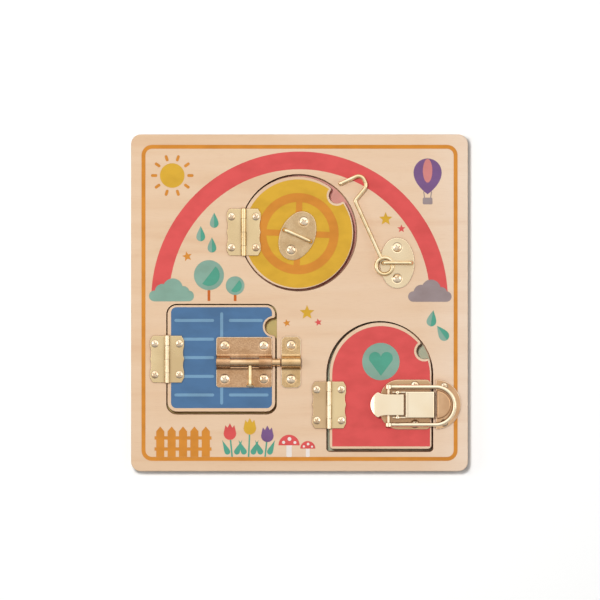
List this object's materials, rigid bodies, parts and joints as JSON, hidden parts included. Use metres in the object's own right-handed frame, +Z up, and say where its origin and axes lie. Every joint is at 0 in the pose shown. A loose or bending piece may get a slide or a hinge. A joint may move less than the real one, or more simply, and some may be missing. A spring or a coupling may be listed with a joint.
{
  "type": "latch board",
  "caption": "Square wooden latch board with round, square and arched hinged doors closed by a hook and eye, a barrel bolt and a toggle latch.",
  "frame": {"origin": "middle of the board's underside", "axes": "+Z up out of the board's face, +Y towards its upper edge, +X to its right"},
  "size_m": [0.225, 0.225, 0.0197],
  "materials": {
    "back_wood": "satin",
    "front_wood": "satin",
    "round_door_wood": "satin",
    "shutter_door_wood": "satin",
    "arched_door_wood": "satin",
    "hinge_brass": "polished",
    "hook_brass": "polished",
    "bolt_brass": "polished",
    "latch_brass": "polished",
    "screw_brass": "polished"
  },
  "bodies": {
    "board": {"back_panel": "back_wood", "front_panel": "front_wood", "round_hinge_board_leaf": "hinge_brass", "round_hinge_pin": "hinge_brass", "round_hinge_board_screws": "screw_brass", "shutter_hinge_board_leaf": "hinge_brass", "shutter_hinge_pin": "hinge_brass", "shutter_hinge_board_screws": "screw_brass", "arched_hinge_board_leaf": "hinge_brass", "arched_hinge_pin": "hinge_brass", "arched_hinge_board_screws": "screw_brass", "hook_plate": "hook_brass", "hook_staple": "hook_brass", "hook_plate_screws": "screw_brass", "bolt_keeper": "bolt_brass", "bolt_keeper_screws": "screw_brass", "latch_catch": "latch_brass", "latch_catch_screws": "screw_brass"},
    "round_hatch": {"round_door": "round_door_wood", "round_hinge_door_leaf": "hinge_brass", "round_hinge_door_screws": "screw_brass", "eye_plate": "hook_brass", "eye_staple": "hook_brass", "eye_plate_screws": "screw_brass"},
    "hook": {"hook": "hook_brass"},
    "shutter": {"shutter_door": "shutter_door_wood", "shutter_hinge_door_leaf": "hinge_brass", "shutter_hinge_door_screws": "screw_brass", "bolt_plate": "bolt_brass", "bolt_plate_screws": "screw_brass"},
    "bolt": {"bolt_rod": "bolt_brass"},
    "knob": {"bolt_knob": "bolt_brass"},
    "arched_hatch": {"arched_door": "arched_door_wood", "arched_hinge_door_leaf": "hinge_brass", "arched_hinge_door_screws": "screw_brass", "latch_base": "latch_brass", "latch_base_screws": "screw_brass", "latch_pivot_pin": "latch_brass"},
    "lever": {"latch_lever": "latch_brass", "latch_bail_pin": "latch_brass"},
    "bail": {"latch_bail": "latch_brass"}
  },
  "joints": [
    {"name": "round_hatch_swing", "type": "hinge", "parent": "board", "child": "round_hatch", "pos_m": [-0.0373, 0.0472, 0.0137], "axis": [0, -1, 0], "range_deg": [0, 150]},
    {"name": "shutter_swing", "type": "hinge", "parent": "board", "child": "shutter", "pos_m": [-0.0884, -0.0376, 0.0137], "axis": [0, -1, 0], "range_deg": [0, 150]},
    {"name": "arched_hatch_swing", "type": "hinge", "parent": "board", "child": "arched_hatch", "pos_m": [0.0197, -0.0682, 0.0137], "axis": [0, -1, 0], "range_deg": [0, 135]},
    {"name": "hook_swing", "type": "hinge", "parent": "board", "child": "hook", "pos_m": [0.0557, 0.0266, 0.0154], "axis": [0, 0, 1], "range_deg": [-100, 48]},
    {"name": "bolt_slide", "type": "slide", "parent": "shutter", "child": "bolt", "axis": [1, 0, 0], "range_m": [-0.01194, 0.0046]},
    {"name": "knob_turn", "type": "hinge", "parent": "bolt", "child": "knob", "pos_m": [-0.03298, -0.03966, 0.0154], "axis": [-1, 0, 0], "range_deg": [0, 90]},
    {"name": "lever_flip", "type": "hinge", "parent": "arched_hatch", "child": "lever", "pos_m": [0.06525, -0.0679, 0.0175], "axis": [0, 1, 0], "range_deg": [0, 150]},
    {"name": "bail_swing", "type": "hinge", "parent": "lever", "child": "bail", "pos_m": [0.05925, -0.0679, 0.0162], "axis": [0, 1, 0], "range_deg": [-180, 0]}
  ],
  "couplings": [
    {"joint": "bail_swing", "follows": "lever_flip", "ratio": -1.2}
  ]
}
